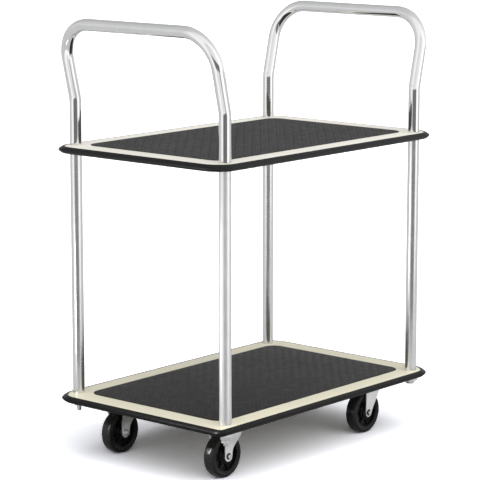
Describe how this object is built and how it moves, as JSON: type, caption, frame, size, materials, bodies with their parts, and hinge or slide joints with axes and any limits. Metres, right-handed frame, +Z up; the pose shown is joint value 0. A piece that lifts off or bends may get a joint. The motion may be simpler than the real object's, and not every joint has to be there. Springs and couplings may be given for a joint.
{
  "type": "platform trolley",
  "caption": "Two-deck platform trolley with bent-tube push handles at both ends, anti-slip mats, rubber edge bumpers, swivel castors at the front and fixed castors at the rear.",
  "frame": {"origin": "on the floor under the middle of the trolley, where the axes of symmetry of the decks meet", "axes": "+Z up; +X along the long side towards the end with the fixed castors, so -X is the swivel-castor (front) end; +Y across, to the right when facing the front end"},
  "size_m": [0.782, 0.508, 1.0067],
  "materials": {
    "deck_paint": "satin ivory powder coat",
    "mat_rubber": "matt, raised lozenge tread",
    "bumper_rubber": "smooth moulded, slight sheen",
    "chrome_tube": "bright",
    "zinc_plated_steel": "satin zinc plate",
    "tyre": "smooth, slight sheen",
    "wheel_core": "moulded"
  },
  "bodies": {
    "frame": {"lower_deck": "deck_paint", "lower_mat": "mat_rubber", "lower_bumper": "bumper_rubber", "lower_long_channel": "deck_paint", "upper_deck": "deck_paint", "upper_mat": "mat_rubber", "upper_bumper": "bumper_rubber", "upper_long_channel": "deck_paint", "front_cross_channel": "deck_paint", "rear_cross_channel": "deck_paint", "front_handle": "chrome_tube", "rear_handle": "chrome_tube", "front_stud_rail": "zinc_plated_steel", "rear_stud_rail": "zinc_plated_steel", "front_left_post": "chrome_tube", "front_left_joiner": "zinc_plated_steel", "front_left_post_socket": "zinc_plated_steel", "front_left_foot_bolt": "zinc_plated_steel", "front_left_swivel_plate": "zinc_plated_steel", "front_left_king_pin": "zinc_plated_steel", "front_left_ball_race": "zinc_plated_steel", "front_right_post": "chrome_tube", "front_right_joiner": "zinc_plated_steel", "front_right_post_socket": "zinc_plated_steel", "front_right_foot_bolt": "zinc_plated_steel", "front_right_swivel_plate": "zinc_plated_steel", "front_right_king_pin": "zinc_plated_steel", "front_right_ball_race": "zinc_plated_steel", "rear_left_post": "chrome_tube", "rear_left_joiner": "zinc_plated_steel", "rear_left_post_socket": "zinc_plated_steel", "rear_left_foot_bolt": "zinc_plated_steel", "rear_left_axle_bolt": "zinc_plated_steel", "rear_left_axle_nut": "zinc_plated_steel", "rear_left_axle_bush": "zinc_plated_steel", "rear_left_fixed_fork": "zinc_plated_steel", "rear_right_post": "chrome_tube", "rear_right_joiner": "zinc_plated_steel", "rear_right_post_socket": "zinc_plated_steel", "rear_right_foot_bolt": "zinc_plated_steel", "rear_right_axle_bolt": "zinc_plated_steel", "rear_right_axle_nut": "zinc_plated_steel", "rear_right_axle_bush": "zinc_plated_steel", "rear_right_fixed_fork": "zinc_plated_steel"},
    "front_left_swivel": {"front_left_swivel_fork": "zinc_plated_steel", "front_left_axle_bolt": "zinc_plated_steel", "front_left_axle_nut": "zinc_plated_steel", "front_left_axle_bush": "zinc_plated_steel"},
    "front_left_wheel": {"front_left_tyre": "tyre", "front_left_wheel_core": "wheel_core"},
    "front_right_swivel": {"front_right_swivel_fork": "zinc_plated_steel", "front_right_axle_bolt": "zinc_plated_steel", "front_right_axle_nut": "zinc_plated_steel", "front_right_axle_bush": "zinc_plated_steel"},
    "front_right_wheel": {"front_right_tyre": "tyre", "front_right_wheel_core": "wheel_core"},
    "rear_left_wheel": {"rear_left_tyre": "tyre", "rear_left_wheel_core": "wheel_core"},
    "rear_right_wheel": {"rear_right_tyre": "tyre", "rear_right_wheel_core": "wheel_core"}
  },
  "joints": [
    {"name": "front_left_swivel_turn", "type": "hinge", "parent": "frame", "child": "front_left_swivel", "pos_m": [-0.24, -0.1569, 0.1152], "axis": [0, 0, 1], "continuous": true},
    {"name": "front_left_wheel_spin", "type": "hinge", "parent": "front_left_swivel", "child": "front_left_wheel", "pos_m": [-0.272, -0.1569, 0.05], "axis": [0, 1, 0], "continuous": true},
    {"name": "front_right_swivel_turn", "type": "hinge", "parent": "frame", "child": "front_right_swivel", "pos_m": [-0.24, 0.1569, 0.1152], "axis": [0, 0, 1], "continuous": true},
    {"name": "front_right_wheel_spin", "type": "hinge", "parent": "front_right_swivel", "child": "front_right_wheel", "pos_m": [-0.272, 0.1569, 0.05], "axis": [0, 1, 0], "continuous": true},
    {"name": "rear_left_wheel_spin", "type": "hinge", "parent": "frame", "child": "rear_left_wheel", "pos_m": [0.237, -0.1569, 0.05], "axis": [0, 1, 0], "continuous": true},
    {"name": "rear_right_wheel_spin", "type": "hinge", "parent": "frame", "child": "rear_right_wheel", "pos_m": [0.237, 0.1569, 0.05], "axis": [0, 1, 0], "continuous": true}
  ]
}
